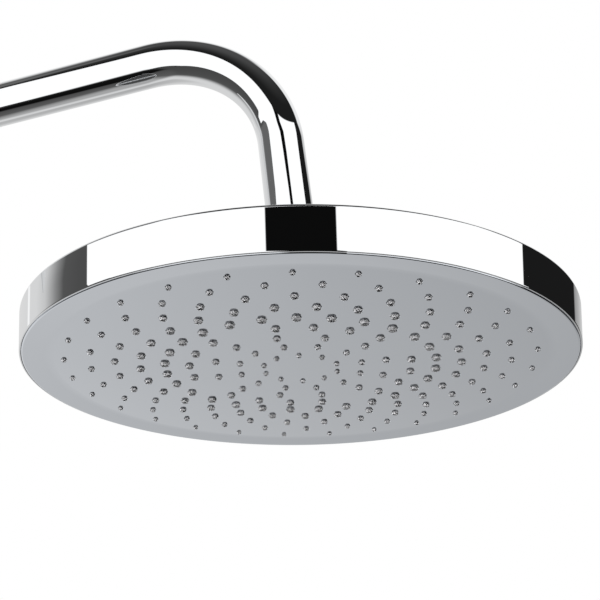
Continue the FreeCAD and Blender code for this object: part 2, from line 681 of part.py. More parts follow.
def nozzle_sets():
    """Evenly spaced sets of nozzles as (ring, angle of the first in degrees, count), as formulas.

    Outer rings follow each other as far as the chamber wall leaves room for.
    """
    last_ring = int(number(f"({CHAMBER_R} - chamber_wall - ring_edge - ring_first) / ring_step"))
    sets = [(0, "0", "first_count"), (1, "0", "second_count"), (2, "0", "second_count")]
    for place in range(int(number("group_size"))):
        sets.append((3, f"({place} - (group_size - 1) / 2) * group_pitch", "group_count"))
    for ring in range(LARGEST_RING, last_ring + 1):
        half_steps = (ring - LARGEST_RING) % 2
        sets.append((ring, f"{half_steps} * 180 / outer_count", "outer_count"))
    return [one for one in sets if one[0] <= last_ring]


def ring_radius(ring):
    return f"(ring_first + {ring} * ring_step)"


def away(ring):
    """Rings between this one and the one with the largest nozzles."""
    return abs(ring - LARGEST_RING)


def nub_radius(ring):
    return f"((hole_diameter - {away(ring)} * hole_fall) / 2 - nub_gap)"


def tip_radius(ring):
    return f"({nub_radius(ring)} - nub_taper)"


def nub_rise(ring):
    return f"(nub_rise - {away(ring)} * nub_fall)"


def nub_tip(ring):
    """Height of a nub's tip."""
    return f"(-face_drop - {nub_rise(ring)})"


def nozzle_tools(label, outline_of):
    """One solid for every nozzle, turned from the outline that a ring's nozzles have."""
    tools = []
    for ring, first_angle, count in nozzle_sets():
        body = doc.addObject("PartDesign::Body", label)
        body.AllowCompound = True
        one = turned(body, outline_of(ring), {
            "x": f"{ring_radius(ring)} * cos({first_angle})",
            "z": f"-{ring_radius(ring)} * sin({first_angle})",
        })
        repeated(body, [one], count)
        tools.append(body)
    group = doc.addObject("Part::Compound", label + "s")
    group.Links = tools
    return group


def joined(kind, label, base, tool):
    """A boolean of two objects."""
    result = doc.addObject(kind, label)
    result.Label = label
    result.Base = base
    result.Tool = tool
    result.Refine = False
    return result


def hole_outline(ring):
    hole_r = f"{nub_radius(ring)} + nub_gap"
    return [
        ("0", "-face_drop"),
        (hole_r, "-face_drop"),
        (hole_r, PLATE_BACK),
        ("0", PLATE_BACK),
    ]


def nub_outline(ring):
    return [
        ("0", nub_tip(ring)),
        (tip_radius(ring), nub_tip(ring)),
        (f"{nub_radius(ring)} - shoulder_taper", f"(-face_drop - nub_shoulder * {nub_rise(ring)})"),
        (nub_radius(ring), "-face_drop"),
        (nub_radius(ring), MAT_BACK),
        ("0", MAT_BACK),
    ]


def jet_outline(ring):
    return [
        ("0", nub_tip(ring)),
        (f"{tip_radius(ring)} - tip_wall", nub_tip(ring)),
        ("jet_bore / 2", f"{nub_tip(ring)} + cup_depth"),
        ("jet_bore / 2", MAT_BACK),
        ("0", MAT_BACK),
    ]


def make_face_plate():
    blank = doc.addObject("PartDesign::Body", "PlateBlank")
    bead_r = f"{PLATE_R} + bead_rise"
    cove_r = f"{PLATE_R} - cove_width"
    disc = turned(blank, [
        ("0", "-face_drop"),
        (cove_r, "-face_drop"),
        (f"{PLATE_R} - cove_width / 2", "(-face_drop - cove_share * (lip_drop + plate_step))"),
        (PLATE_R, f"{LIP} - plate_step"),
        (PLATE_R, BEAD_LOW),
        (bead_r, BEAD_LOW),
        (bead_r, BEAD_HIGH),
        (PLATE_R, BEAD_HIGH),
        (PLATE_R, LEDGE_TOP),
        (LEDGE_R, LEDGE_TOP),
        (LEDGE_R, PLATE_BACK),
        ("0", PLATE_BACK),
    ])
    rounded(blank, disc, [(PLATE_R, f"{LIP} - plate_step")], "plate_round")
    pilot = new_sketch(blank, "XY_Plane", {"z": LEDGE_TOP})
    circle(pilot, SCREW_HOLE_R, (SCREW_CIRCLE_R, "0"))
    bored = blank.newObject("PartDesign::Pocket", "Pilot")
    bored.Profile = pilot
    bored.Refine = False
    bind(bored, "Length", f"{LEDGE_TOP} - {SCREW_END} + screw_gap")
    repeated(blank, [bored], "screw_count")
    plate = joined("Part::Cut", "face_plate", blank, nozzle_tools("Hole", hole_outline))
    bind(plate, "Placement", AT_HEAD)
    pieces.append(plate)


def make_nozzle_mat():
    plain_mat = doc.addObject("PartDesign::Body", "MatSheet")
    turned(plain_mat, [
        ("0", PLATE_BACK),
        (MAT_R, PLATE_BACK),
        (MAT_R, MAT_BACK),
        ("0", MAT_BACK),
    ])
    solid = joined("Part::Fuse", "MatWithNubs", plain_mat, nozzle_tools("Nub", nub_outline))
    mat = joined("Part::Cut", "nozzle_mat", solid, nozzle_tools("Jet", jet_outline))
    bind(mat, "Placement", AT_HEAD)
    pieces.append(mat)


make_arm_tube()
make_nipple("wall_nipple", AT_WALL, "0", "wall_thread_length")
make_wall_flange()
make_nipple("outlet_nipple", AT_ARM_END, COLLAR_TOP,
            "(collar_height - neck_grip - filter_thickness - washer_thickness)")
make_ball_collar()
make_swivel_ball()
make_flow_limiter()
make_filter_screen()
make_inlet_washer()
make_ball_slip_liner()
make_ball_seat_ring()
make_retaining_nut()
make_top_cover()
make_chamber_plate()
make_chamber_screws()
make_nozzle_mat()
make_face_plate()
doc.recompute()

for thing in doc.Objects:
    if "Invalid" in thing.State or "Error" in thing.State:
        raise RuntimeError(f"{thing.Name} ({thing.Label}) failed: {thing.State}")
for piece in pieces:
    solids = int(number("screw_count")) if piece.Label == "chamber_screws" else 1
    if piece.Shape.isNull() or not piece.Shape.isValid():
        raise RuntimeError(f"{piece.Label} has no valid shape")
    if len(piece.Shape.Solids) != solids:
        raise RuntimeError(f"{piece.Label} has {len(piece.Shape.Solids)} solids")

os.makedirs("parts", exist_ok=True)
for piece in pieces:
    piece.Shape.exportStep(f"parts/{piece.Label}.step")
    print(piece.Label, round(piece.Shape.Volume, 1))
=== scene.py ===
"""Looks of an overhead rain shower on a bent wall arm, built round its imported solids."""

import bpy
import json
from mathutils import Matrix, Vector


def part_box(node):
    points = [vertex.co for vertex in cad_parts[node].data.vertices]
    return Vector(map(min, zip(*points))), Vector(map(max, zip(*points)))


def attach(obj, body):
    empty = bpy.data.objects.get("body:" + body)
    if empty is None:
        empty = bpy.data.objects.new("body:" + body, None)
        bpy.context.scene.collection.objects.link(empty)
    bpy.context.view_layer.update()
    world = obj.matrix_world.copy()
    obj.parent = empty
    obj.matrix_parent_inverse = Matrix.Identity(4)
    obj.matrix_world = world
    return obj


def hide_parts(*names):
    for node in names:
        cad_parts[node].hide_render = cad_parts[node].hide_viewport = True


bl_info = {
    "name": "Overhead Shower Looks",
    "version": (1, 0, 0),
    "blender": (4, 5, 0),
    "location": "3D View > Sidebar > Shower",
    "description": "Models the polished, moulded and soft pieces of an overhead shower",
    "category": "Object",
}

import json
import math

import bpy
from bpy.props import FloatProperty, FloatVectorProperty, IntProperty, PointerProperty
from mathutils import Matrix, Vector

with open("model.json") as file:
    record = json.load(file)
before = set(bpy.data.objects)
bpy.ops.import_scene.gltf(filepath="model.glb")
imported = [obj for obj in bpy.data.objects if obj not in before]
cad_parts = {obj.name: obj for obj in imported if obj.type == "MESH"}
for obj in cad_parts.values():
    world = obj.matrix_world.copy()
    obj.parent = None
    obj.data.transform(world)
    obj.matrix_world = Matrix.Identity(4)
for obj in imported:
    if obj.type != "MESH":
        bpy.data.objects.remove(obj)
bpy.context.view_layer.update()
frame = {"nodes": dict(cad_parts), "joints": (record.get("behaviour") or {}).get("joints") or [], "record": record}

MM = 0.001
FULL_TURN = 2 * math.pi
QUARTER_TURN = math.pi / 2
MERGE_DISTANCE = 0.001 * MM
UP = (0.0, 0.0, 1.0)

# Places of the three groups of pieces: at the wall, at the arm's end and on the tilted head
JOINTS = {joint["name"]: joint for joint in frame["joints"]}
BALL_CENTRE = Vector(JOINTS["head_spin"]["pos_m"])
HEAD_AXIS = Vector(JOINTS["head_spin"]["axis"])
AT_WALL = Matrix.Rotation(QUARTER_TURN, 4, "Y")
AT_ARM_END = Matrix.Translation(BALL_CENTRE)
AT_HEAD = AT_ARM_END @ Matrix.Rotation(math.atan2(HEAD_AXIS.x, HEAD_AXIS.z), 4, "Y")

TUBE_LOW, TUBE_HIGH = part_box("arm_tube")
THREAD_LOW, THREAD_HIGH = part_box("wall_nipple")
PLATE_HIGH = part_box("wall_flange")[1]
COVER_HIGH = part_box("top_cover")[1]

# Roundings of small edges
HAIR_EDGE = 0.1 * MM
FINE_EDGE = 0.2 * MM
SMALL_EDGE = 0.3 * MM
SOFT_EDGE = 0.4 * MM
BROAD_EDGE = 0.5 * MM
WIDE_EDGE = 0.8 * MM


# Sizes and colours that a user would change

def length(description, metres):
    return FloatProperty(description=description, default=metres, unit="LENGTH", subtype="DISTANCE",
                         precision=5)


def angle(description, degrees):
    return FloatProperty(description=description, default=math.radians(degrees), unit="ROTATION",
                         subtype="ANGLE")


def count(description, number):
    return IntProperty(description=description, default=number, min=1)


def colour(description, red, green, blue):
    return FloatVectorProperty(description=description, default=(red, green, blue), size=3, min=0.0,
                               max=1.0, subtype="COLOR")


class ArmSizes(bpy.types.PropertyGroup):
    tube_diameter: length("Outside of the arm tube", 2 * TUBE_HIGH.y)
    tube_wall: length("Wall of the arm tube", 1.5 * MM)
    bend_radius: length("Centreline of the bend", 63.5 * MM)
    end_round: length("Rounding of the tube's end edges", 0.35 * MM)
    thread_pitch: length("Half inch pipe thread, crest to crest", 1.814 * MM)
    thread_depth: length("Crest to root", 1.0 * MM)
    nipple_bore: length("Waterway through the threaded insert", 14 * MM)
    spigot_gap: length("Room round the insert in the tube", 0.05 * MM)
    plate_edge: length("Upright edge of the wall's cover plate", 3 * MM)
    plate_wall: length("Thickness of the cover plate", 2 * MM)
    plate_front: length("Diameter of the cover plate at its front", 29 * MM)
    plate_land: length("Length of the cover plate's hole", 4.4 * MM)
    plate_gap: length("Room round the tube in the cover plate", 0.3 * MM)
    plate_round: length("Rounding of the cover plate's edge", 4.5 * MM)
    front_round: length("Rounding of the cover plate's front", 1.2 * MM)
    collar_diameter: length("Outside of the union collar", 27 * MM)
    collar_flats: length("Across the collar's spanner flats", 24 * MM)
    collar_lift: length("Ball centre to the underside of the collar", 16.5 * MM)
    collar_height: length("Height of the collar", 18 * MM)
    neck_grip: length("Length of the ball's neck inside the collar", 7 * MM)
    ball_diameter: length("Swivel ball", 24 * MM)
    neck_diameter: length("Neck of the ball", 13 * MM)
    ball_bore: length("Waterway through the ball", 8 * MM)


class HeadSizes(bpy.types.PropertyGroup):
    diameter: length("Outside of the rim at its top", 2 * COVER_HIGH.y)
    rim_taper: length("How far the rim draws in down to its lower edge", 1.2 * MM)
    rim_wall: length("Wall of the rim at its top", 1.9 * MM)
    face_drop: length("Ball centre down to the face", 35.6 * MM)
    rim_rise: length("Face up to the top of the rim", 17.2 * MM)
    lip_drop: length("Face down to the lower edge of the rim", 0.6 * MM)
    lip_round: length("Rounding of the rim's lower edge", 0.5 * MM)
    rim_round: length("Rounding of the rim's upper edge", 1.25 * MM)
    cover_top: length("Ball centre down to the top of the cover", 17 * MM)
    cover_wall: length("Top of the cover", 2 * MM)
    cover_hole: length("Hole of the cover round the head's neck", 34.5 * MM)
    nut_diameter: length("Outside of the retaining nut", 40.9 * MM)
    nut_depth: length("Ball centre down to the nut's lower face", 16 * MM)
    nut_height: length("Ball centre up to the nut's upper face", 10.5 * MM)
    nut_chamfer: length("Outer upper edge of the nut", 3 * MM)
    nut_opening: length("Hole for the ball's neck", 20.8 * MM)
    nut_flare: length("Widening of that hole at the top", 1.2 * MM)
    flute_diameter: length("Round of a grip flute", 4 * MM)
    flute_depth: length("Depth of a grip flute", 0.6 * MM)
    flute_count: count("Grip flutes of the nut", 18)
    seam: length("Seam between rim and face plate", 0.12 * MM)
    plate_thickness: length("Thickness of the face plate", 2.5 * MM)
    plate_step: length("Edge of the face plate below the rim's lower edge", 0.45 * MM)
    plate_round: length("Rounding of that edge", 0.8 * MM)
    cove_width: length("Soft slope round the face", 11.5 * MM)
    cove_round: length("Rounding where that slope meets the face", 45 * MM)
    ledge_width: length("Raised border on the back of the face plate", 10.1 * MM)
    ledge_height: length("Rise of that border", 3.5 * MM)
    hole_edge: length("Chamfer of the nozzle holes", 0.12 * MM)
    bead_rise: length("Snap bead round the face plate's edge", 0.3 * MM)
    bead_lift: length("Face up to the underside of that bead", 2.4 * MM)
    bead_height: length("Height of that bead", 1.2 * MM)
    bead_room: length("Room above and below it in the rim's groove", 0.3 * MM)


class NozzleSizes(bpy.types.PropertyGroup):
    turn: angle("Turn of the nozzle pattern about the head's axis", 29.3)
    first_radius: length("Radius of the first ring", 16.4 * MM)
    ring_step: length("Radius from one ring to the next", 10.57 * MM)
    first_count: count("Nozzles in the first ring", 10)
    second_count: count("Nozzles in the second and third rings", 12)
    group_count: count("Groups in the fourth ring", 4)
    group_size: count("Nozzles in a group", 4)
    group_pitch: angle("Spacing inside a group", 18)
    outer_count: count("Nozzles in each outer ring", 27)
    largest_ring: count("Ring with the largest nozzles, counted from 0", 4)
    last_ring: count("Outermost ring, counted from 0", 8)
    hole_diameter: length("Hole of the largest nozzle", 4.2 * MM)
    hole_fall: length("How much smaller holes are, per ring", 0.42 * MM)
    nub_gap: length("Room round a nub in its hole", 0.15 * MM)
    nub_rise: length("The largest nub below the face", 1.2 * MM)
    nub_fall: length("How much shorter nubs are, per ring", 0.06 * MM)
    nub_taper: length("Narrowing of a nub towards its tip", 0.22 * MM)
    nub_round: length("Rounding of a nub's tip", 0.18 * MM)
    cup_depth: length("Depth of the outlet in a nub", 0.8 * MM)
    jet_bore: length("Bore of a nozzle", 1.0 * MM)
    mat_thickness: length("Thickness of the nozzle mat", 1.5 * MM)
    mat_inset: length("Edge of the rim to the mat's edge", 14.7 * MM)


class FinishColours(bpy.types.PropertyGroup):
    chrome: colour("Bright plating", 0.87, 0.88, 0.89)
    face: colour("Bright face plate", 0.82, 0.855, 0.905)
    silicone: colour("Soft nozzle mat", 0.42, 0.42, 0.43)
    brass: colour("Bare turned brass", 0.72, 0.56, 0.29)
    steel: colour("Plain stainless steel", 0.6, 0.6, 0.6)
    rubber: colour("Moulded black rubber", 0.03, 0.03, 0.03)
    dark: colour("Moulded water chamber", 0.08, 0.08, 0.085)
    pale: colour("Bearing shell and flow limiter", 0.8, 0.8, 0.77)


class StudioSettings(bpy.types.PropertyGroup):
    camera_distance: length("From a point on the head's axis near the face", 492.95 * MM)
    aim_drop: length("Ball centre down to that point", 34.6 * MM)
    camera_azimuth: angle("Round the head, from the front", 11.888)
    camera_elevation: angle("Above the head's level", -21.059)
    aim_azimuth: angle("Heading of the line of sight", 11.494)
    aim_pitch: angle("Rise of the line of sight", 24.386)
    roll: angle("Turn of the picture", -7.179)
    focal_length: FloatProperty(description="Of the lens, on a 36 mm sensor", default=68.03,
                                subtype="DISTANCE_CAMERA")
    floor_drop: length("Wall fitting down to the floor", 0.75)
    floor_size: length("Side of the floor", 30.0)


# Outlines and turning

def rounded_outline(corners, steps=6):
    """Points of an outline with (radius, height) corners, and an arc at each one that adds a rounding."""
    points = []
    for place, (radius, height, *rounding) in enumerate(corners):
        corner = Vector((radius, height))
        if not any(rounding):
            points.append(corner)
            continue
        before = (Vector(corners[place - 1][:2]) - corner).normalized()
        after = (Vector(corners[(place + 1) % len(corners)][:2]) - corner).normalized()
        half = before.angle(after) / 2
        centre = corner + (before + after).normalized() * (rounding[0] / math.sin(half))
        start = corner + before * (rounding[0] / math.tan(half)) - centre
        sweep = math.copysign(math.pi - 2 * half, before.cross(after) * -1)
        for step in range(steps + 1):
            points.append(centre + Matrix.Rotation(sweep * step / steps, 2) @ start)
    return points


def deselect_all():
    if bpy.context.mode != "OBJECT":
        bpy.ops.object.mode_set(mode="OBJECT")
    bpy.ops.object.select_all(action="DESELECT")


def new_piece(name):
    """An empty mesh object in edit mode, with nothing else selected."""
    deselect_all()
    bpy.ops.mesh.primitive_plane_add(size=MM)
    piece = bpy.context.object
    piece.name = name
    bpy.ops.object.mode_set(mode="EDIT")
    bpy.ops.mesh.select_all(action="SELECT")
    bpy.ops.mesh.delete(type="VERT")
    return piece


def draw_chain(points, centre=(0.0, 0.0), closed=False):
    """Draws edges through (radius, height) points beside an upright axis, as the only visible selection."""
    places = [Vector((centre[0] + radius, centre[1], height)) for radius, height in points]
    if closed:
        places.append(places[0])
    bpy.ops.mesh.primitive_plane_add(size=MM, location=places[0])
    bpy.ops.mesh.merge(type="CENTER")
    for here, there in zip(places, places[1:]):
        bpy.ops.mesh.extrude_region_move(TRANSFORM_OT_translate={"value": there - here})
    bpy.ops.mesh.select_all(action="SELECT")


def weld_visible():
    """Joins visible points that touch and turns the faces outwards."""
    bpy.ops.mesh.select_all(action="SELECT")
    bpy.ops.mesh.remove_doubles(threshold=MERGE_DISTANCE)
    bpy.ops.mesh.normals_make_consistent(inside=False)


def cap_visible():
    """Closes the open ends of what is visible and turns the faces outwards."""
    bpy.ops.mesh.fill_holes(sides=0)
    bpy.ops.mesh.select_all(action="SELECT")
    bpy.ops.mesh.normals_make_consistent(inside=False)


def spin_visible(steps, centre=(0.0, 0.0)):
    """Turns what is visible once round an upright axis, and closes the seam."""
    bpy.ops.mesh.spin(steps=steps, angle=FULL_TURN, center=(*centre, 0.0), axis=UP)
    weld_visible()


def turned_piece(name, corners, steps):
    """A ring-shaped piece, turned from a closed outline about the local upright axis."""
    piece = new_piece(name)
    draw_chain(rounded_outline(corners), closed=True)
    spin_visible(steps)
    bpy.ops.object.mode_set(mode="OBJECT")
    return piece


def apply_modifier(piece, kind, **settings):
    made = piece.modifiers.new(kind.title(), kind)
    for name, value in settings.items():
        setattr(made, name, value)
    bpy.ops.object.modifier_apply(modifier=made.name)


def finish_piece(piece, place, body, node, slot, crease=30.0):
    """Puts a piece in its place, smooths it, gives it its finish and lets it stand for its solid."""
    deselect_all()
    piece.select_set(True)
    bpy.context.view_layer.objects.active = piece
    piece.matrix_world = place
    bpy.ops.object.transform_apply(location=True, rotation=True, scale=True)
    bpy.ops.object.shade_smooth_by_angle(angle=math.radians(crease))
    apply_modifier(piece, "WEIGHTED_NORMAL", keep_sharp=True)
    piece.data.materials.clear()
    piece.data.materials.append(finish_for(slot))
    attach(piece, body)
    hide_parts(node)


def keep_out_of_mirrors(*pieces):
    """Hides pieces of the wall end from polished metal, because the photographed rim mirrors none of them."""
    for piece in pieces:
        piece.visible_glossy = False


# Shader nodes

def add_node(tree, kind, inputs=None, **settings):
    """Adds a node with its settings. Its inputs are values, or sockets to link."""
    made = tree.nodes.new(kind)
    for name, value in settings.items():
        setattr(made, name, value)
    for name, value in (inputs or {}).items():
        if isinstance(value, bpy.types.NodeSocket):
            tree.links.new(value, made.inputs[name])
        else:
            made.inputs[name].default_value = value
    return made


def calculate(tree, operation, *values):
    return add_node(tree, "ShaderNodeMath", dict(enumerate(values)), operation=operation).outputs[0]


def soft_step(tree, value, low, high):
    """0 below low, 1 above high and smooth between, or the other way round where low is above high."""
    flip = low > high
    made = add_node(tree, "ShaderNodeMapRange", {
        "Value": value,
        "From Min": min(low, high),
        "From Max": max(low, high),
        "To Min": 1.0 if flip else 0.0,
        "To Max": 0.0 if flip else 1.0,
    }, interpolation_type="SMOOTHSTEP")
    return made.outputs["Result"]


def ramp(tree, value, stops):
    """A curve of straight stretches through (place, level) stops, flat before and after them."""
    low = stops[0][0]
    high = stops[-1][0]
    share = add_node(tree, "ShaderNodeMapRange", {"Value": value, "From Min": low, "From Max": high})
    made = add_node(tree, "ShaderNodeValToRGB", {"Fac": share.outputs["Result"]})
    elements = made.color_ramp.elements
    while len(elements) < len(stops):
        elements.new(0.5)
    for element, (place, level) in zip(elements, stops):
        element.position = (place - low) / (high - low)
        element.color = (level, level, level, 1.0)
    return made.outputs["Color"]


def blend_levels(tree, mask, below, above):
    made = add_node(tree, "ShaderNodeMix", {"Factor": mask, "A": below, "B": above}, data_type="FLOAT")
    return made.outputs["Result"]


def new_group(name, inputs, outputs):
    """A shader node group with named float or colour sockets. Returns its tree and its two end nodes."""
    group = bpy.data.node_groups.new(name, "ShaderNodeTree")
    for label, kind, value in inputs:
        group.interface.new_socket(label, in_out="INPUT", socket_type=kind).default_value = value
    for label, kind in outputs:
        group.interface.new_socket(label, in_out="OUTPUT", socket_type=kind)
    return group, group.nodes.new("NodeGroupInput"), group.nodes.new("NodeGroupOutput")


def use_group(tree, group, **values):
    made = tree.nodes.new("ShaderNodeGroup")
    made.node_tree = group
    for name, value in values.items():
        made.inputs[name].default_value = value
    return made


FLOAT = "NodeSocketFloat"
COLOUR = "NodeSocketColor"
# Nearly all of the noise lies between these levels
NOISE_LOW = 0.3
NOISE_HIGH = 0.7


def object_noise(tree, scale, detail, **others):
    """Soft noise that is fixed to the object."""
    place = add_node(tree, "ShaderNodeTexCoord")
    made = add_node(tree, "ShaderNodeTexNoise", {
        "Vector": place.outputs["Object"], "Scale": scale, "Detail": detail, **others})
    return made.outputs["Fac"]


def make_mottling():
    """A value that drifts between two levels in soft patches: polish haze, uneven gloss."""
    group, given, result = new_group("mottling", [
        ("Scale", FLOAT, 50.0), ("Low", FLOAT, 0.3), ("High", FLOAT, 0.4)], [("Value", FLOAT)])
    patches = object_noise(group, given.outputs["Scale"], detail=4.0)
    level = add_node(group, "ShaderNodeMapRange", {
        "Value": patches, "From Min": NOISE_LOW, "From Max": NOISE_HIGH,
        "To Min": given.outputs["Low"], "To Max": given.outputs["High"]})
    group.links.new(level.outputs["Result"], result.inputs["Value"])
    return group


def make_tint():
    """A colour with faint lighter and darker flecks: moulded plastic, rubber, bare metal."""
    group, given, result = new_group("tint", [
        ("Colour", COLOUR, (0.5, 0.5, 0.5, 1.0)), ("Scale", FLOAT, 800.0), ("Amount", FLOAT, 0.05)],
        [("Colour", COLOUR)])
    flecks = object_noise(group, given.outputs["Scale"], detail=3.0)
    centred = calculate(group, "SUBTRACT", flecks, 0.5)
    gain = calculate(group, "MULTIPLY_ADD", centred, given.outputs["Amount"], 1.0)
    shade = add_node(group, "ShaderNodeVectorMath", {0: given.outputs["Colour"]}, operation="SCALE")
    group.links.new(gain, shade.inputs["Scale"])
    group.links.new(shade.outputs["Vector"], result.inputs["Colour"])
    return group


def make_grain():
    """Height of a fine moulded texture: small soft bumps."""
    group, given, result = new_group("grain", [("Scale", FLOAT, 2500.0)], [("Height", FLOAT)])
    bumps = object_noise(group, given.outputs["Scale"], detail=2.0, Roughness=0.6)
    group.links.new(bumps, result.inputs["Height"])
    return group


def make_tool_marks():
    """Height of the fine bands that turning leaves."""
    group, given, result = new_group("tool marks", [("Scale", FLOAT, 3000.0)], [("Height", FLOAT)])
    place = add_node(group, "ShaderNodeTexCoord")
    rings = add_node(group, "ShaderNodeTexWave", {
        "Vector": place.outputs["Object"], "Scale": given.outputs["Scale"], "Distortion": 1.5,
        "Detail": 2.0}, wave_type="BANDS", bands_direction="DIAGONAL")
    group.links.new(rings.outputs["Fac"], result.inputs["Height"])
    return group


GROUPS = {}


def group_named(name):
    makers = {"mottling": make_mottling, "tint": make_tint, "grain": make_grain,
              "tool marks": make_tool_marks}
    if name not in GROUPS:
        GROUPS[name] = makers[name]()
    return GROUPS[name]


def new_material(name):
    """A material with one Principled shader. Returns the material, its tree and the shader."""
    material = bpy.data.materials.new(name)
    material.use_nodes = True
    shader = material.node_tree.nodes["Principled BSDF"]
    return material, material.node_tree, shader


def uneven_gloss(tree, shader, low, high, scale):
    patches = use_group(tree, group_named("mottling"), Low=low, High=high, Scale=scale)
    tree.links.new(patches.outputs["Value"], shader.inputs["Roughness"])


def flecked_colour(tree, shader, shade, scale, amount):
    flecks = use_group(tree, group_named("tint"), Colour=(*shade, 1.0), Scale=scale, Amount=amount)
    tree.links.new(flecks.outputs["Colour"], shader.inputs["Base Color"])


def relief(tree, shader, group, scale, strength, depth):
    height = use_group(tree, group_named(group), Scale=scale)
    bump = add_node(tree, "ShaderNodeBump", {
        "Height": height.outputs["Height"], "Strength": strength, "Distance": depth})
    tree.links.new(bump.outputs["Normal"], shader.inputs["Normal"])


def chrome_finish(name, shade):
    """Bright plating: a clean mirror with a faint haze in patches."""
    material, tree, shader = new_material(name)
    shader.inputs["Base Color"].default_value = (*shade, 1.0)
    shader.inputs["Metallic"].default_value = 1.0
    uneven_gloss(tree, shader, low=0.004, high=0.014, scale=45.0)
    return material


def plastic_finish(name, shade, low, high, grain_depth, shine=0.5):
    """Moulded plastic: fine matt grain, faint flecks and uneven gloss."""
    material, tree, shader = new_material(name)
    shader.inputs["Specular IOR Level"].default_value = shine
    flecked_colour(tree, shader, shade, scale=900.0, amount=0.06)
    uneven_gloss(tree, shader, low, high, scale=120.0)
    relief(tree, shader, "grain", scale=2600.0, strength=0.35, depth=grain_depth)
    return material


def metal_finish(name, shade, low, high, amount):
    """Bare turned metal: fine tool marks and slightly uneven colour."""
    material, tree, shader = new_material(name)
    shader.inputs["Metallic"].default_value = 1.0
    flecked_colour(tree, shader, shade, scale=260.0, amount=amount)
    uneven_gloss(tree, shader, low, high, scale=300.0)
    relief(tree, shader, "tool marks", scale=2200.0, strength=0.25, depth=0.02 * MM)
    return material


def make_finishes(colours):
    """All finishes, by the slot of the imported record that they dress."""
    chrome = chrome_finish("bright_chrome", colours.chrome)
    return {
        "chromed_tube": chrome,
        "chromed_fitting": chrome,
        "chromed_plastic": chrome,
        "bare_brass": metal_finish("bare_brass", colours.brass, 0.22, 0.36, 0.12),
        "bare_steel": metal_finish("bare_steel", colours.steel, 0.28, 0.4, 0.08),
        "chromed_face": chrome_finish("bright_face", colours.face),
        "dark_plastic": plastic_finish("dark_plastic", colours.dark, 0.4, 0.5, 0.02 * MM),
        "pale_plastic": plastic_finish("pale_plastic", colours.pale, 0.3, 0.4, 0.01 * MM),
        "grey_silicone": plastic_finish("grey_silicone", colours.silicone, 0.36, 0.46, 0.008 * MM, 0.15),
        "black_rubber": plastic_finish("black_rubber", colours.rubber, 0.6, 0.74, 0.03 * MM),
    }


FINISHES = {}


def finish_for(slot):
    if not FINISHES:
        FINISHES.update(make_finishes(bpy.context.scene.shower_finish))
    return FINISHES[slot]


# Studio

WHITE = 1.0
PANEL_LEVEL = 1.15
STRIP_LEVEL = 0.98
BACK_WALL_LEVEL = 0.92
LIT_WALL_LEVEL = 0.75
SLOT_LEVEL = 0.004
BLACK_LEVEL = 0.011
HORIZON_LEVEL = 9.0
DARK_LEVEL = 0.02
MIRRORED_LOSS = 0.72
SIDE_SOFTNESS = 0.25
TOP_SOFTNESS = 0.3
HALF_CIRCLE = 180.0
FLOOR_SHADE = (0.98, 0.98, 0.98, 1.0)
SENSOR_WIDTH = 36.0
NEAREST_SHOWN = 10 * MM


def side_by_rise(tree, rise, stops):
    """The side of an edge, in degrees, that changes with the rise: straight stretches through the stops."""
    # A ramp holds no level below 0, so it holds the angle from straight behind
    from_behind = ramp(tree, rise, [(place, side + HALF_CIRCLE) for place, side in stops])
    return calculate(tree, "SUBTRACT", from_behind, HALF_CIRCLE)


def past_edge(tree, side, edge, softness):
    """1 past an edge, to its right or above it, and 0 before it."""
    return soft_step(tree, calculate(tree, "SUBTRACT", side, edge), -softness, softness)


def between(tree, value, low_start, low_end, high_start, high_end):
    rising = soft_step(tree, value, low_start, low_end)
    return calculate(tree, "MULTIPLY", rising, soft_step(tree, value, high_end, high_start))


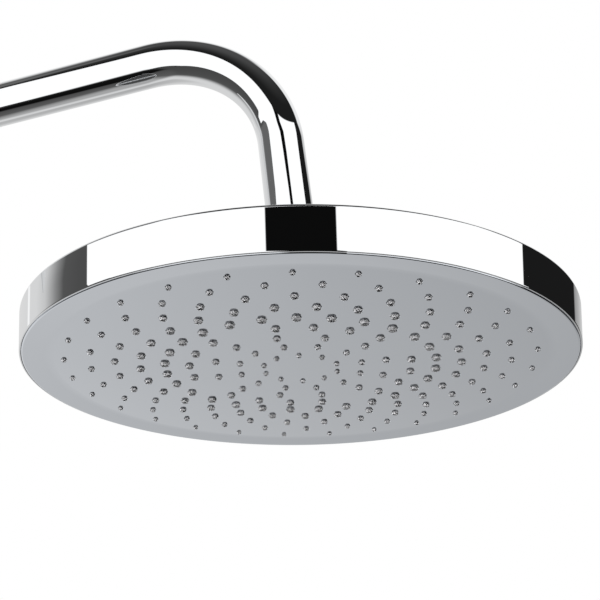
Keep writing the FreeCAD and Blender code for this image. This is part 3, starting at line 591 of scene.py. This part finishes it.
def studio_levels(tree, bounces):
    """Brightness of the studio that polished metal mirrors, by direction: soft panels, gaps and walls."""
    place = add_node(tree, "ShaderNodeTexCoord")
    axes = add_node(tree, "ShaderNodeSeparateXYZ", {0: place.outputs["Generated"]})
    front = calculate(tree, "MULTIPLY", axes.outputs["Y"], -1.0)
    side = calculate(tree, "DEGREES", calculate(tree, "ARCTAN2", axes.outputs["X"], front))
    rise = calculate(tree, "DEGREES", calculate(tree, "ARCSINE", axes.outputs["Z"]))

    # Edges of the panels and, last, of the black wall. They lean, so each changes with the rise
    left_outer = side_by_rise(tree, rise, [
        (-60, -24), (-48, -30), (-30, -49), (5, -57), (17, -61), (23.5, -61), (24, -74.5), (27.3, -74.5),
        (27.5, -61), (28, -57), (30, -46), (32, -43), (60, -43)])
    left_inner = side_by_rise(tree, rise, [
        (-60, 3.6), (25, 3.6), (28.5, 20.5), (30, 20.5), (32, 17), (35, 6), (60, 6)])
    right_inner = side_by_rise(tree, rise, [(-60, 29.6), (25, 29.6), (29, 33), (32, 33), (36, 21), (60, 21)])
    right_outer = side_by_rise(tree, rise, [(-60, 109), (20, 109), (26, 101), (60, 101)])
    black_end = side_by_rise(tree, rise, [
        (-60, 153.5), (20, 153.5), (30, 148), (32, 142), (39, 128), (60, 128)])

    # Walls: the left one fades to dark beside the panel, the right one is black
    lean = side_by_rise(tree, rise, [(-60, -13), (-43, -13), (10, 0), (26, 0), (30, 10), (60, 10)])
    left_wall = ramp(tree, calculate(tree, "SUBTRACT", side, lean), [
        (-180, 0.7), (-131, 0.73), (-114, 0.73), (-105, 0.62), (-96, 0.27), (-90, 0.095), (-80, 0.08),
        (-40, 0.063)])
    lit_above = ramp(tree, rise, [(20, 0.0), (26.5, 0.0), (29, 0.14), (40, 0.14)])
    left_wall = calculate(tree, "MAXIMUM", left_wall, lit_above)
    strip_side = between(tree, side, -126.0, -125.0, -123.0, -122.0)
    strip_rise = between(tree, rise, 23.0, 23.5, 27.0, 27.5)
    strip = calculate(tree, "MULTIPLY", strip_side, strip_rise)
    left_wall = blend_levels(tree, strip, left_wall, STRIP_LEVEL)
    past_slot = soft_step(tree, side, 40.0, 60.0)
    black = blend_levels(tree, past_slot, SLOT_LEVEL, BLACK_LEVEL)
    right_back = ramp(tree, side, [(120, 0.28), (153, 0.3), (160, 0.44), (168, 0.6), (180, 0.6)])
    right_wall = blend_levels(tree, past_edge(tree, side, black_end, softness=1.0), black, right_back)
    right_half = soft_step(tree, side, -21.0, -19.0)
    level = blend_levels(tree, right_half, left_wall, right_wall)

    # The dark wall is lit for what is mirrored twice
    twice = soft_step(tree, bounces, 1.0, 2.0)
    dark_side = between(tree, side, -110.0, -100.0, -50.0, -40.0)
    lit_wall = calculate(tree, "MULTIPLY", twice, dark_side)
    level = blend_levels(tree, lit_wall, level, LIT_WALL_LEVEL)

    # Back wall, brightest above mid height
    far_left = soft_step(tree, side, -118.0, -134.0)
    back_side = calculate(tree, "MAXIMUM", past_edge(tree, side, black_end, softness=4.0), far_left)
    back_rise = between(tree, rise, 24.0, 40.0, 56.0, 72.0)
    back_wall = calculate(tree, "MULTIPLY", back_side, back_rise)
    level = blend_levels(tree, back_wall, level, BACK_WALL_LEVEL)

    # Ceiling, lower in front than at the back
    ceiling = ramp(tree, rise, [(30, 0.011), (48, 0.014), (60, 0.035), (72, 0.062), (90, 0.085)])
    front_side = between(tree, side, -46.0, -34.0, 126.0, 134.0)
    panel_top = ramp(tree, side, [(-60, 46.0), (-32, 46.0), (-21, 38.5), (140, 38.5)])
    above_panels = past_edge(tree, rise, panel_top, TOP_SOFTNESS)
    lowered = calculate(tree, "MULTIPLY", front_side, above_panels)
    overhead = soft_step(tree, rise, 62.0, 76.0)
    level = blend_levels(tree, calculate(tree, "MAXIMUM", lowered, overhead), level, ceiling)

    # Floor of the studio, black in front
    floor = ramp(tree, side, [
        (-180, 0.42), (-140, 0.42), (-110, 0.11), (-62, 0.08), (-52, 0.004), (130, 0.02), (180, 0.42)])
    low_down = soft_step(tree, rise, -44.0, -54.0)
    level = blend_levels(tree, low_down, level, floor)

    # Backdrop behind the head, a little below its level
    turn = calculate(tree, "MULTIPLY_ADD", calculate(tree, "SIGN", side), -HALF_CIRCLE, side)
    backdrop = ramp(tree, turn, [(-40, 0.3), (-15, 0.37), (0, 0.41), (15, 0.47), (30, 0.55), (60, 0.62)])
    behind_turn = between(tree, turn, -24.0, -18.0, 38.0, 52.0)
    behind_rise = between(tree, rise, -40.0, -32.0, -4.0, 4.0)
    behind = calculate(tree, "MULTIPLY", behind_turn, behind_rise)
    lift = ramp(tree, rise, [(-40, 0.9), (-24, 0.97), (-17, 1.02), (-8, 1.2), (0, 1.28)])
    backdrop = calculate(tree, "MULTIPLY", backdrop, lift)
    level = blend_levels(tree, behind, level, backdrop)

    # Panels
    below_top = calculate(tree, "SUBTRACT", 1.0, above_panels)
    above_bottom = soft_step(tree, rise, -50.0, -44.0)
    height = calculate(tree, "MULTIPLY", above_bottom, below_top)
    for start, end in ((left_outer, left_inner), (right_inner, right_outer)):
        width = calculate(tree, "SUBTRACT", past_edge(tree, side, start, SIDE_SOFTNESS),
                          past_edge(tree, side, end, SIDE_SOFTNESS))
        level = blend_levels(tree, calculate(tree, "MULTIPLY", width, height), level, PANEL_LEVEL)
    return level


def make_world():
    """White to the camera, the studio to mirrors, and a plain light with a bright horizon to soft pieces."""
    world = bpy.data.worlds.new("studio")
    bpy.context.scene.world = world
    world.use_nodes = True
    world.cycles.sampling_method = "NONE"
    tree = world.node_tree
    tree.nodes.clear()
    rays = add_node(tree, "ShaderNodeLightPath")
    place = add_node(tree, "ShaderNodeTexCoord")
    height = add_node(tree, "ShaderNodeSeparateXYZ", {0: place.outputs["Generated"]}).outputs["Z"]
    bounces = rays.outputs["Glossy Depth"]
    plain = ramp(tree, height, [
        (-1, DARK_LEVEL), (-0.19, DARK_LEVEL), (-0.15, HORIZON_LEVEL), (-0.02, HORIZON_LEVEL), (0.04, WHITE),
        (1, WHITE)])

    # The photographed nubs are darker in the face's mirror than beside it
    mirrored = calculate(tree, "MINIMUM", bounces, 1.0)
    kept = calculate(tree, "MULTIPLY_ADD", mirrored, -MIRRORED_LOSS, 1.0)
    plain = calculate(tree, "MULTIPLY", plain, kept)
    after_soft = calculate(tree, "MINIMUM", rays.outputs["Diffuse Depth"], 1.0)
    strength = blend_levels(tree, rays.outputs["Is Glossy Ray"], WHITE, studio_levels(tree, bounces))
    strength = blend_levels(tree, after_soft, strength, plain)
    light = add_node(tree, "ShaderNodeBackground", {"Color": (1.0, 1.0, 1.0, 1.0), "Strength": strength})
    output = add_node(tree, "ShaderNodeOutputWorld")
    tree.links.new(light.outputs["Background"], output.inputs["Surface"])


def make_floor(studio):
    deselect_all()
    bpy.ops.mesh.primitive_plane_add(size=studio.floor_size, location=(0, 0, -studio.floor_drop))
    floor = bpy.context.object
    floor.name = "studio_floor"
    floor.visible_glossy = False
    floor.visible_diffuse = False
    material, tree, shader = new_material("white_floor")
    tree.nodes.remove(shader)
    matt = add_node(tree, "ShaderNodeBsdfDiffuse", {"Color": FLOOR_SHADE})
    tree.links.new(matt.outputs["BSDF"], tree.nodes["Material Output"].inputs["Surface"])
    floor.data.materials.append(material)


def make_camera(studio):
    """The camera of the photograph: below the face, close, looking up."""
    aim = AT_HEAD @ Vector((0, 0, -studio.aim_drop))
    level = math.cos(studio.camera_elevation)
    back = Vector((math.sin(studio.camera_azimuth) * level, -math.cos(studio.camera_azimuth) * level,
                   math.sin(studio.camera_elevation)))
    place = aim + back * studio.camera_distance
    deselect_all()
    bpy.ops.object.camera_add()
    camera = bpy.context.object
    camera.data.lens = studio.focal_length
    camera.data.sensor_width = SENSOR_WIDTH
    camera.data.clip_start = NEAREST_SHOWN
    camera.matrix_world = (Matrix.Translation(place)
                           @ Matrix.Rotation(studio.aim_azimuth, 4, "Z")
                           @ Matrix.Rotation(QUARTER_TURN + studio.aim_pitch, 4, "X")
                           @ Matrix.Rotation(studio.roll, 4, "Z"))
    bpy.context.scene.camera = camera


class SHOWER_OT_studio(bpy.types.Operator):
    """Sets up the camera, the floor and the light"""
    bl_idname = "shower.studio"
    bl_label = "Studio"

    def execute(self, context):
        scene = context.scene
        scene.view_settings.view_transform = "Standard"
        make_camera(scene.shower_studio)
        make_floor(scene.shower_studio)
        make_world()
        return {"FINISHED"}


# Arm

TUBE_SIDES = 128
BEND_STEPS = 64
TURN_STEPS = 128
PLATE_STEPS = 192
RIM_STEPS = 288
THREAD_ROWS = 84
THREAD_SIDES = 72
BALL_STEPS = 40
SEAT_STEPS = 20
FLUTE_STEPS = 20


class SHOWER_OT_arm_tube(bpy.types.Operator):
    """Models the polished tube: a straight run, a quarter bend and a short leg"""
    bl_idname = "shower.arm_tube"
    bl_label = "Arm Tube"

    def execute(self, context):
        arm = context.scene.shower_arm
        radius = arm.tube_diameter / 2
        run = BALL_CENTRE.x - arm.bend_radius
        deselect_all()
        bpy.ops.mesh.primitive_circle_add(vertices=TUBE_SIDES, radius=radius, rotation=(0, QUARTER_TURN, 0))
        piece = context.object
        piece.name = "polished_arm_tube"
        bpy.ops.object.transform_apply(location=True, rotation=True, scale=True)
        bpy.ops.object.mode_set(mode="EDIT")
        bpy.ops.mesh.select_all(action="SELECT")
        bpy.ops.mesh.extrude_region_move(TRANSFORM_OT_translate={"value": (run, 0, 0)})
        bpy.ops.mesh.spin(steps=BEND_STEPS, angle=QUARTER_TURN, center=(run, 0, -arm.bend_radius),
                          axis=(0, -1, 0))
        leg = -arm.bend_radius - TUBE_LOW.z
        bpy.ops.mesh.extrude_region_move(TRANSFORM_OT_translate={"value": (0, 0, -leg)})
        weld_visible()
        bpy.ops.object.mode_set(mode="OBJECT")
        apply_modifier(piece, "SOLIDIFY", thickness=arm.tube_wall, offset=-1.0)
        apply_modifier(piece, "BEVEL", width=arm.end_round, segments=3, limit_method="ANGLE",
                       angle_limit=math.radians(60))
        finish_piece(piece, Matrix(), "arm", "arm_tube", "chromed_tube")
        return {"FINISHED"}


class SHOWER_OT_wall_thread(bpy.types.Operator):
    """Models the brass insert with its cut pipe thread"""
    bl_idname = "shower.wall_thread"
    bl_label = "Wall Thread"

    def execute(self, context):
        arm = context.scene.shower_arm
        crest = THREAD_HIGH.y
        root = crest - arm.thread_depth
        bore = arm.nipple_bore / 2
        spigot = arm.tube_diameter / 2 - arm.tube_wall - arm.spigot_gap
        outer_end = THREAD_LOW.x
        inner_end = THREAD_HIGH.x
        thread = [(crest, outer_end * (1 - row / THREAD_ROWS)) for row in range(THREAD_ROWS + 1)]
        piece = turned_piece("threaded_wall_nipple", [
            (bore, outer_end, SOFT_EDGE), *thread, (spigot, 0.0), (spigot, inner_end, SOFT_EDGE),
            (bore, inner_end, SOFT_EDGE)], THREAD_SIDES)
        lead_in = 1.2 * MM
        for vertex in piece.data.vertices:
            across = vertex.co.xy.length
            height = vertex.co.z
            if across < crest - MERGE_DISTANCE or height > -MERGE_DISTANCE:
                continue
            turn = math.atan2(vertex.co.y, vertex.co.x) / FULL_TURN
            wave = 0.5 + 0.5 * math.cos(FULL_TURN * (height / arm.thread_pitch - turn))
            fade = min(1.0, (height - outer_end) / lead_in, -height / lead_in)
            vertex.co.xy *= (root + arm.thread_depth * wave * fade) / across
        finish_piece(piece, AT_WALL, "arm", "wall_nipple", "bare_brass", crease=40.0)
        keep_out_of_mirrors(piece)
        return {"FINISHED"}


class SHOWER_OT_wall_plate(bpy.types.Operator):
    """Models the polished cover plate that slides along the tube"""
    bl_idname = "shower.wall_plate"
    bl_label = "Wall Cover Plate"

    def execute(self, context):
        arm = context.scene.shower_arm
        edge = PLATE_HIGH.y
        inside = edge - arm.plate_wall
        depth = PLATE_HIGH.x
        front = arm.plate_front / 2
        hole = arm.tube_diameter / 2 + arm.plate_gap
        land_back = depth - arm.plate_land
        groove = hole + 1.8 * MM
        groove_front = depth - 1.1 * MM
        groove_back = depth - 3.3 * MM
        piece = turned_piece("polished_wall_plate", [
            (inside, 0.0, SMALL_EDGE), (edge, 0.0, SMALL_EDGE), (edge, arm.plate_edge, arm.plate_round),
            (front, depth, arm.front_round), (hole, depth, SMALL_EDGE), (hole, groove_front),
            (groove, groove_front), (groove, groove_back), (hole, groove_back), (hole, land_back),
            (front, land_back), (inside, arm.plate_edge / 2)], PLATE_STEPS)
        finish_piece(piece, AT_WALL, "flange", "wall_flange", "chromed_fitting")
        keep_out_of_mirrors(piece, frame["nodes"]["flange_o_ring"])
        return {"FINISHED"}


# Ball joint

class SHOWER_OT_ball_collar(bpy.types.Operator):
    """Models the union collar with its two spanner flats"""
    bl_idname = "shower.ball_collar"
    bl_label = "Ball Collar"

    def execute(self, context):
        arm = context.scene.shower_arm
        outer = arm.collar_diameter / 2
        low = arm.collar_lift
        top = low + arm.collar_height
        socket_low = low + arm.neck_grip
        slip = 0.05 * MM
        neck = arm.neck_diameter / 2 + slip
        socket = THREAD_HIGH.y + slip
        chamfer = 1.0 * MM
        groove = neck + 1.55 * MM
        groove_low = low + 1.5 * MM
        groove_high = low + 3.2 * MM
        piece = turned_piece("polished_ball_collar", [
            (neck, low, SMALL_EDGE), (outer - chamfer, low, FINE_EDGE), (outer, low + chamfer, SOFT_EDGE),
            (outer, top, BROAD_EDGE), (socket, top, SMALL_EDGE), (socket, socket_low), (neck, socket_low),
            (neck, groove_high), (groove, groove_high), (groove, groove_low), (neck, groove_low)], TURN_STEPS)
        bpy.ops.object.mode_set(mode="EDIT")
        for way in (1.0, -1.0):
            bpy.ops.mesh.select_all(action="SELECT")
            bpy.ops.mesh.bisect(plane_co=(way * arm.collar_flats / 2, 0, 0), plane_no=(way, 0, 0),
                                use_fill=True, clear_outer=True)
        bpy.ops.object.mode_set(mode="OBJECT")
        finish_piece(piece, AT_ARM_END, "arm", "ball_collar", "chromed_fitting")
        return {"FINISHED"}


def ball_side(radius, first, last, steps):
    """Corners of an outline along a ball about the local origin, from one latitude to another."""
    corners = []
    for step in range(steps + 1):
        latitude = first + (last - first) * step / steps
        corners.append((radius * math.cos(latitude), radius * math.sin(latitude)))
    return corners


class SHOWER_OT_swivel_ball(bpy.types.Operator):
    """Models the hollow ball and its neck"""
    bl_idname = "shower.swivel_ball"
    bl_label = "Swivel Ball"

    def execute(self, context):
        arm = context.scene.shower_arm
        ball = arm.ball_diameter / 2
        neck = arm.neck_diameter / 2
        bore = arm.ball_bore / 2
        top = arm.collar_lift + arm.neck_grip
        recess = bore + 1.0 * MM
        recess_low = top - 5.0 * MM
        round_side = ball_side(ball, -math.acos(bore / ball), math.acos(neck / ball), BALL_STEPS)
        piece = turned_piece("polished_swivel_ball", [
            *round_side, (neck, top, SOFT_EDGE), (recess, top, SMALL_EDGE), (recess, recess_low),
            (bore, recess_low)], TURN_STEPS)
        finish_piece(piece, AT_ARM_END, "arm", "swivel_ball", "chromed_fitting")
        return {"FINISHED"}


class SHOWER_OT_retaining_nut(bpy.types.Operator):
    """Models the ring nut with its grip flutes"""
    bl_idname = "shower.retaining_nut"
    bl_label = "Retaining Nut"

    def execute(self, context):
        head = context.scene.shower_head
        outer = head.nut_diameter / 2
        opening = head.nut_opening / 2
        bore_gap = 0.15 * MM
        bore = head.cover_hole / 2 - bore_gap
        shell = 2.0 * MM
        seat = context.scene.shower_arm.ball_diameter / 2 + shell
        seat_top = head.nut_height - head.nut_flare
        shoulder = -1.2 * MM
        piece = turned_piece("fluted_retaining_nut", [
            (bore, -head.nut_depth, FINE_EDGE), (outer, -head.nut_depth, SOFT_EDGE),
            (outer, head.nut_height - head.nut_chamfer, WIDE_EDGE),
            (outer - head.nut_chamfer, head.nut_height, BROAD_EDGE),
            (opening + head.nut_flare, head.nut_height, FINE_EDGE),
            *ball_side(seat, math.asin(seat_top / seat), math.asin(shoulder / seat), SEAT_STEPS),
            (bore, shoulder)], head.flute_count * FLUTE_STEPS)
        round_radius = head.flute_diameter / 2
        flute_axis = outer + round_radius - head.flute_depth
        pitch = FULL_TURN / head.flute_count
        for vertex in piece.data.vertices:
            across = vertex.co.xy.length
            turn = math.remainder(math.atan2(vertex.co.y, vertex.co.x), pitch)
            offset = flute_axis * math.sin(turn)
            if abs(offset) >= round_radius:
                continue
            floor = flute_axis * math.cos(turn) - math.sqrt(round_radius ** 2 - offset ** 2)
            if across > floor:
                vertex.co.xy *= floor / across
        finish_piece(piece, AT_HEAD, "head", "retaining_nut", "chromed_fitting")
        return {"FINISHED"}


# Head

class SHOWER_OT_top_cover(bpy.types.Operator):
    """Models the chromed cover with its upright rim"""
    bl_idname = "shower.top_cover"
    bl_label = "Top Cover"

    def execute(self, context):
        head = context.scene.shower_head
        outer = head.diameter / 2
        inner = outer - head.rim_wall
        lip = -head.face_drop - head.lip_drop
        rim_top = -head.face_drop + head.rim_rise
        hole = head.cover_hole / 2
        foot = head.nut_diameter / 2
        top = -head.cover_top
        under = top - head.cover_wall
        groove = inner + head.bead_rise
        groove_low = -head.face_drop + head.bead_lift - head.bead_room
        groove_high = groove_low + head.bead_height + 2 * head.bead_room
        piece = turned_piece("chromed_top_cover", [
            (inner, lip, HAIR_EDGE), (outer - head.rim_taper, lip, head.lip_round),
            (outer, rim_top, head.rim_round), (foot, top), (hole, top, SMALL_EDGE), (hole, under),
            (foot, under), (inner, rim_top - head.cover_wall, BROAD_EDGE), (inner, groove_high),
            (groove, groove_high), (groove, groove_low), (inner, groove_low)], RIM_STEPS)
        finish_piece(piece, AT_HEAD, "head", "top_cover", "chromed_plastic")
        return {"FINISHED"}


def nozzle_sets(nozzles):
    """Evenly spaced sets of nozzles as (ring, angle of the first, count)."""
    sets = [(0, 0.0, nozzles.first_count), (1, 0.0, nozzles.second_count), (2, 0.0, nozzles.second_count)]
    for place in range(nozzles.group_size):
        sets.append((3, (place - (nozzles.group_size - 1) / 2) * nozzles.group_pitch, nozzles.group_count))
    for ring in range(nozzles.largest_ring, nozzles.last_ring + 1):
        half_steps = (ring - nozzles.largest_ring) % 2
        sets.append((ring, half_steps * math.pi / nozzles.outer_count, nozzles.outer_count))
    return sets


def hole_radius(nozzles, ring):
    return (nozzles.hole_diameter - abs(ring - nozzles.largest_ring) * nozzles.hole_fall) / 2


def repeat_nozzles(nozzles, outline_of, sides):
    """Models one nozzle of each set from its outline and copies it round the head, in the open mesh."""
    for ring, first_angle, number in nozzle_sets(nozzles):
        radius = nozzles.first_radius + ring * nozzles.ring_step
        turn = first_angle + nozzles.turn
        centre = (radius * math.cos(turn), radius * math.sin(turn))
        draw_chain(outline_of(ring), centre)
        spin_visible(sides, centre)
        cap_visible()
        bpy.ops.mesh.spin(steps=number - 1, angle=FULL_TURN * (number - 1) / number, dupli=True,
                          center=(0, 0, 0), axis=UP)
        bpy.ops.mesh.select_all(action="SELECT")
        bpy.ops.mesh.hide(unselected=False)
    bpy.ops.mesh.reveal(select=False)


HOLE_SIDES = 24
NUB_SIDES = 14
# How far in from a corner the middle of its rounding lies, as a share of the rounding
ROUND_MIDDLE = 0.3


class SHOWER_OT_face_plate(bpy.types.Operator):
    """Models the bright face plate with a hole for every nozzle"""
    bl_idname = "shower.face_plate"
    bl_label = "Face Plate"

    def execute(self, context):
        head = context.scene.shower_head
        nozzles = context.scene.shower_nozzles
        face = -head.face_drop
        edge = head.diameter / 2 - head.rim_wall - head.seam
        cove = edge - head.cove_width
        back = face + head.plate_thickness
        ledge = edge - head.ledge_width
        ledge_top = back + head.ledge_height
        edge_low = face - head.lip_drop - head.plate_step
        bead = edge + head.bead_rise
        bead_low = face + head.bead_lift
        bead_high = bead_low + head.bead_height
        piece = new_piece("bright_face_plate")
        # The second corner only gives the cove's rounding its direction
        outline = rounded_outline([
            (ledge, back), (cove - head.cove_width, face), (cove, face, head.cove_round),
            (edge, edge_low, head.plate_round), (edge, bead_low), (bead, bead_low, FINE_EDGE),
            (bead, bead_high, FINE_EDGE), (edge, bead_high), (edge, ledge_top, SMALL_EDGE),
            (ledge, ledge_top, SMALL_EDGE)])
        draw_chain([*outline[2:], outline[0]])
        spin_visible(RIM_STEPS)
        cap_visible()

        def drill_outline(ring):
            radius = hole_radius(nozzles, ring)
            spare = 0.3 * MM
            return [(radius + head.hole_edge + spare, face - spare), (radius, face + head.hole_edge),
                    (radius, back + spare)]

        drills = new_piece("drills")
        repeat_nozzles(nozzles, drill_outline, HOLE_SIDES)
        deselect_all()
        context.view_layer.objects.active = piece
        apply_modifier(piece, "BOOLEAN", operation="DIFFERENCE", solver="EXACT", object=drills)
        bpy.data.objects.remove(drills)
        finish_piece(piece, AT_HEAD, "head", "face_plate", "chromed_face")
        return {"FINISHED"}


class SHOWER_OT_nozzle_mat(bpy.types.Operator):
    """Models the soft mat whose nubs stand out of the face plate"""
    bl_idname = "shower.nozzle_mat"
    bl_label = "Nozzle Mat"

    def execute(self, context):
        head = context.scene.shower_head
        nozzles = context.scene.shower_nozzles
        face = -head.face_drop
        sheet_low = face + head.plate_thickness
        sheet_top = sheet_low + nozzles.mat_thickness
        edge = head.diameter / 2 - nozzles.mat_inset
        bore = nozzles.jet_bore / 2

        def nub_outline(ring):
            radius = hole_radius(nozzles, ring) - nozzles.nub_gap
            rise = nozzles.nub_rise - abs(ring - nozzles.largest_ring) * nozzles.nub_fall
            tip = face - rise
            tip_radius = radius - nozzles.nub_taper
            soft = nozzles.nub_round
            middle = soft * ROUND_MIDDLE
            return [(radius, sheet_low + nozzles.mat_thickness / 2), (radius, face), (tip_radius, tip + soft),
                    (tip_radius - middle, tip + middle), (tip_radius - soft, tip), (bore, tip),
                    (bore, tip + nozzles.cup_depth)]

        piece = new_piece("silicone_nozzle_mat")
        repeat_nozzles(nozzles, nub_outline, NUB_SIDES)
        bpy.ops.mesh.select_all(action="SELECT")
        bpy.ops.mesh.hide(unselected=False)
        draw_chain([(edge, sheet_low), (edge, sheet_top)])
        spin_visible(TURN_STEPS)
        cap_visible()
        bpy.ops.mesh.reveal(select=False)
        bpy.ops.object.mode_set(mode="OBJECT")
        finish_piece(piece, AT_HEAD, "head", "nozzle_mat", "grey_silicone", crease=50.0)
        return {"FINISHED"}


class SHOWER_OT_inner_finishes(bpy.types.Operator):
    """Gives every solid that is still shown the finish of its slot"""
    bl_idname = "shower.inner_finishes"
    bl_label = "Inner Finishes"

    def execute(self, context):
        for part in frame["record"]["subparts"]:
            solid = frame["nodes"][part["node"]]
            if solid.hide_render:
                continue
            solid.data.materials.clear()
            solid.data.materials.append(finish_for(part["material_slot"]))
        return {"FINISHED"}


# Add-on

STEPS = (
    SHOWER_OT_studio, SHOWER_OT_arm_tube, SHOWER_OT_wall_thread, SHOWER_OT_wall_plate,
    SHOWER_OT_ball_collar, SHOWER_OT_swivel_ball, SHOWER_OT_retaining_nut, SHOWER_OT_top_cover,
    SHOWER_OT_face_plate, SHOWER_OT_nozzle_mat, SHOWER_OT_inner_finishes,
)
SETTINGS = {
    "shower_arm": ArmSizes,
    "shower_head": HeadSizes,
    "shower_nozzles": NozzleSizes,
    "shower_finish": FinishColours,
    "shower_studio": StudioSettings,
}


class SHOWER_PT_panel(bpy.types.Panel):
    """Lists the pieces of the shower and their sizes"""
    bl_label = "Overhead Shower"
    bl_idname = "SHOWER_PT_panel"
    bl_space_type = "VIEW_3D"
    bl_region_type = "UI"
    bl_category = "Shower"

    def draw(self, context):
        for step in STEPS:
            self.layout.operator(step.bl_idname)
        for name, group in SETTINGS.items():
            box = self.layout.box()
            for field in group.__annotations__:
                label = field.replace("_", " ").capitalize()
                box.prop(getattr(context.scene, name), field, text=label)


def register():
    for group in SETTINGS.values():
        bpy.utils.register_class(group)
    for name, group in SETTINGS.items():
        setattr(bpy.types.Scene, name, PointerProperty(type=group))
    for step in STEPS:
        bpy.utils.register_class(step)
    bpy.utils.register_class(SHOWER_PT_panel)


def unregister():
    bpy.utils.unregister_class(SHOWER_PT_panel)
    for step in reversed(STEPS):
        bpy.utils.unregister_class(step)
    for name, group in SETTINGS.items():
        delattr(bpy.types.Scene, name)
        bpy.utils.unregister_class(group)


def main():
    register()
    for step in STEPS:
        getattr(bpy.ops.shower, step.bl_idname.partition(".")[2])()


if __name__ == "__main__":
    main()
